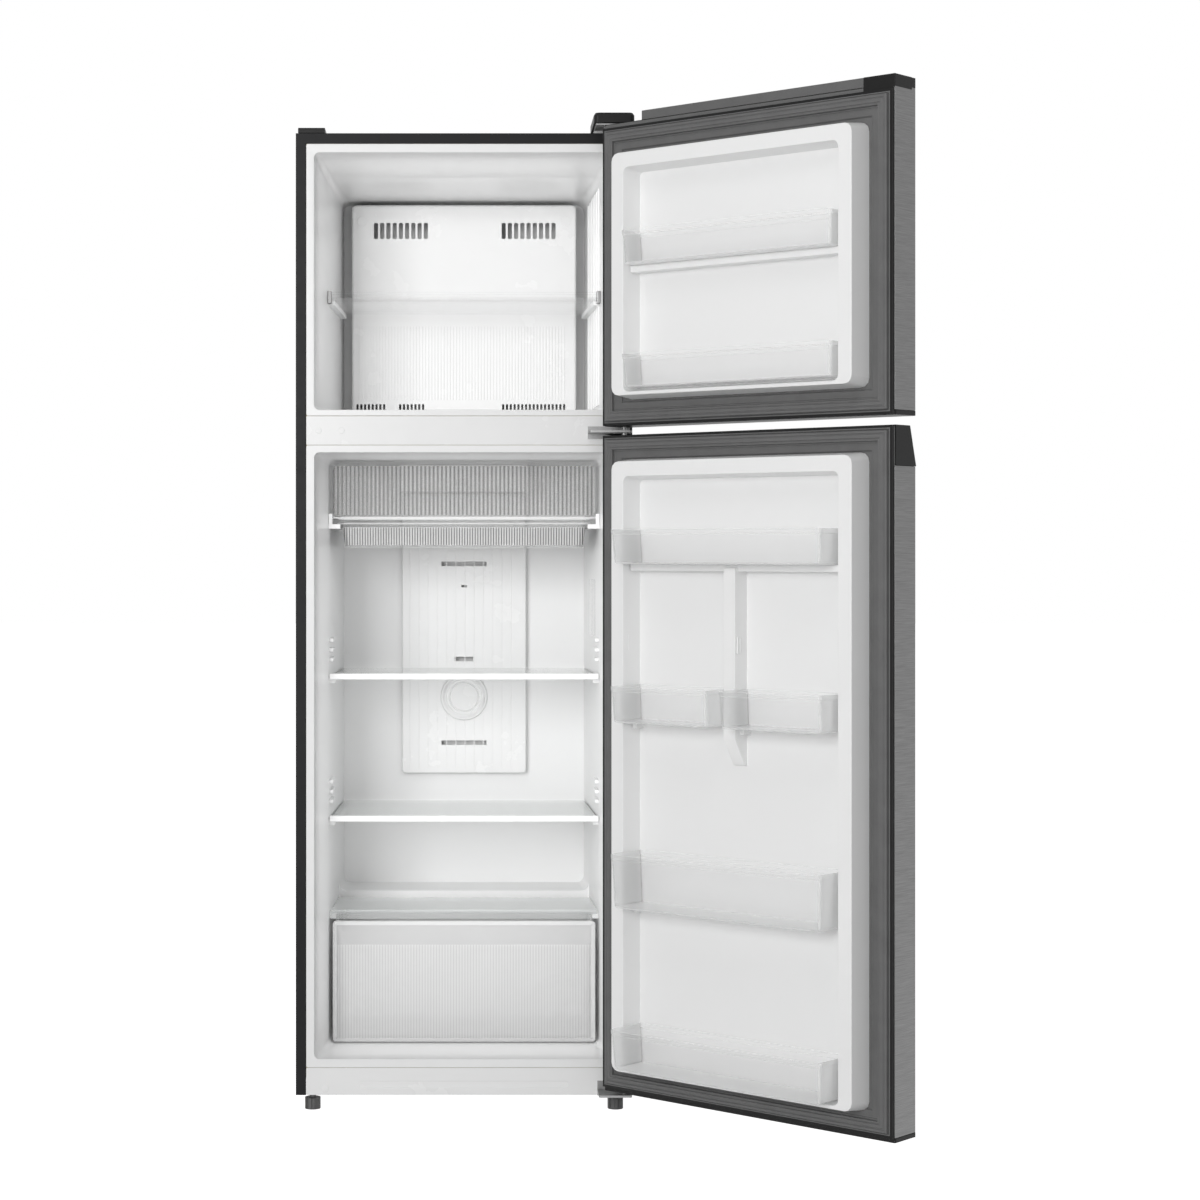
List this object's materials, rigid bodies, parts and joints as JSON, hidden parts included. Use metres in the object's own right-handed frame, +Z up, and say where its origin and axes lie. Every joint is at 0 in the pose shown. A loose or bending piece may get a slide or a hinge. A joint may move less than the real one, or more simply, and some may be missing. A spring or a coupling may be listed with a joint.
{
  "type": "top freezer refrigerator",
  "caption": "Upright two-door refrigerator with a freezer on top, steel doors open to the right, glass shelves, clear drawers and clear door racks.",
  "frame": {"origin": "middle of the underside of the whole object's box, with both doors open as at rest, on the floor", "axes": "+Z up, +Y towards the back of the cabinet, +X towards the hinged right side, seen from the front"},
  "size_m": [1.0322, 1.0466, 1.77],
  "materials": {
    "dark_paint": "satin",
    "foam": "matte",
    "zinc": "satin",
    "trim": "satin",
    "black_plastic": "satin",
    "compressor_paint": "satin",
    "liner": "gloss",
    "fins": "satin",
    "shelf_glass": "gloss",
    "clear": "gloss",
    "bracket": "satin",
    "foot": "matte",
    "brushed_steel": "satin",
    "gasket": "matte",
    "charcoal": "satin"
  },
  "bodies": {
    "cabinet": {"cabinet_shell": "dark_paint", "cabinet_foam": "foam", "back_panel": "zinc", "mullion_cover": "trim", "kick_panel": "trim", "base_plate": "zinc", "machine_plate": "zinc", "rear_cover": "black_plastic", "compressor": "compressor_paint", "drain_pan": "black_plastic", "freezer_liner": "liner", "fridge_liner": "liner", "evaporator_cover": "trim", "evaporator": "fins", "fan_motor": "black_plastic", "freezer_shelf": "shelf_glass", "duct_cover": "trim", "deodoriser_cap": "trim", "control_box": "trim", "lamp_cover": "clear", "chiller_rail_left": "trim", "chiller_rail_right": "trim", "crisper_cover": "shelf_glass", "top_hinge": "bracket", "top_hinge_cover": "black_plastic", "middle_hinge": "bracket", "bottom_hinge": "bracket", "corner_cap": "black_plastic", "shelf_lower_glass": "shelf_glass", "shelf_lower_trim": "trim", "shelf_upper_glass": "shelf_glass", "shelf_upper_trim": "trim"},
    "freezer_door": {"freezer_door_skin": "brushed_steel", "freezer_door_foam": "foam", "freezer_door_liner": "liner", "freezer_door_gasket": "gasket", "freezer_door_top_cap": "charcoal", "freezer_door_bottom_cap": "black_plastic", "freezer_rack_lower": "clear", "freezer_rack_upper": "clear"},
    "fridge_door": {"fridge_door_skin": "brushed_steel", "fridge_door_foam": "foam", "fridge_door_liner": "liner", "fridge_door_gasket": "gasket", "fridge_door_top_cap": "black_plastic", "fridge_door_bottom_cap": "black_plastic", "fridge_rack_top": "clear", "fridge_rack_middle_left": "clear", "fridge_rack_middle_right": "clear", "fridge_rack_bottle": "clear", "fridge_rack_bottom": "clear"},
    "chiller_flap": {"chiller_flap": "clear"},
    "chiller_tray": {"chiller_tray": "clear"},
    "crisper_drawer": {"crisper_drawer": "clear"},
    "evaporator_fan": {"evaporator_fan": "black_plastic"},
    "front_foot_left": {"front_foot_left": "foot"},
    "front_foot_right": {"front_foot_right": "foot"},
    "rear_roller_left": {"rear_roller_left": "black_plastic"},
    "rear_roller_right": {"rear_roller_right": "black_plastic"}
  },
  "joints": [
    {"name": "freezer_door_hinge", "type": "hinge", "parent": "cabinet", "child": "freezer_door", "pos_m": [0.06641, -0.09873, 1.482], "axis": [0, 0, 1], "range_deg": [-137.7, 2.3]},
    {"name": "fridge_door_hinge", "type": "hinge", "parent": "cabinet", "child": "fridge_door", "pos_m": [0.06641, -0.09873, 0.625], "axis": [0, 0, 1], "range_deg": [-137.7, 2.3]},
    {"name": "chiller_flap_hinge", "type": "hinge", "parent": "cabinet", "child": "chiller_flap", "pos_m": [-0.21609, 0.06327, 1.059], "axis": [1, 0, 0], "range_deg": [0, 90]},
    {"name": "chiller_tray_slide", "type": "slide", "parent": "cabinet", "child": "chiller_tray", "axis": [0, -1, 0], "range_m": [0, 0.2]},
    {"name": "crisper_drawer_slide", "type": "slide", "parent": "cabinet", "child": "crisper_drawer", "axis": [0, -1, 0], "range_m": [0, 0.19]},
    {"name": "evaporator_fan_spin", "type": "hinge", "parent": "cabinet", "child": "evaporator_fan", "pos_m": [-0.21609, 0.42297, 1.608], "axis": [0, -1, 0], "continuous": true},
    {"name": "front_foot_left_turn", "type": "hinge", "parent": "cabinet", "child": "front_foot_left", "pos_m": [-0.48709, -0.02773, 0], "axis": [0, 0, 1], "continuous": true},
    {"name": "front_foot_right_turn", "type": "hinge", "parent": "cabinet", "child": "front_foot_right", "pos_m": [0.05491, -0.02773, 0], "axis": [0, 0, 1], "continuous": true},
    {"name": "rear_roller_left_turn", "type": "hinge", "parent": "cabinet", "child": "rear_roller_left", "pos_m": [-0.48179, 0.48927, 0.014], "axis": [1, 0, 0], "continuous": true},
    {"name": "rear_roller_right_turn", "type": "hinge", "parent": "cabinet", "child": "rear_roller_right", "pos_m": [0.04961, 0.48927, 0.014], "axis": [1, 0, 0], "continuous": true}
  ]
}
